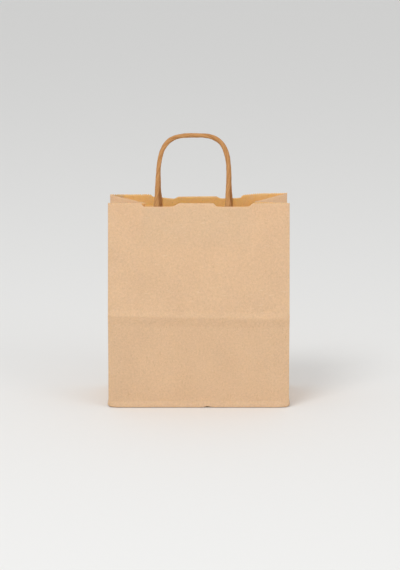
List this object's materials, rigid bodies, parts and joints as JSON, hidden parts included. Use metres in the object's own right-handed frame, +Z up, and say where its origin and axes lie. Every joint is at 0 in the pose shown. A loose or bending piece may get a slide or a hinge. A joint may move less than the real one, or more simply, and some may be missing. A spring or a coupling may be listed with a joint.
{
  "type": "twisted handle paper bag",
  "caption": "Brown kraft paper carrier bag with a block bottom, folded side gussets, a notched and torn top edge and twisted paper cord handles, standing half open.",
  "frame": {"origin": "middle of the base, on the ground", "axes": "+Z up, +X to the right along the front panel, -Y out of the front panel"},
  "size_m": [0.22, 0.1101, 0.3298],
  "materials": {
    "kraft_paper": "matt brown kraft paper",
    "twisted_paper_cord": "matt twisted kraft paper",
    "patch_paper": "matt brown kraft paper"
  },
  "bodies": {
    "root": {"bag_body": "kraft_paper", "front_handle": "twisted_paper_cord", "rear_handle": "twisted_paper_cord", "front_backing_patch": "patch_paper", "rear_backing_patch": "patch_paper", "front_cover_patch": "patch_paper", "rear_cover_patch": "patch_paper"}
  },
  "joints": []
}
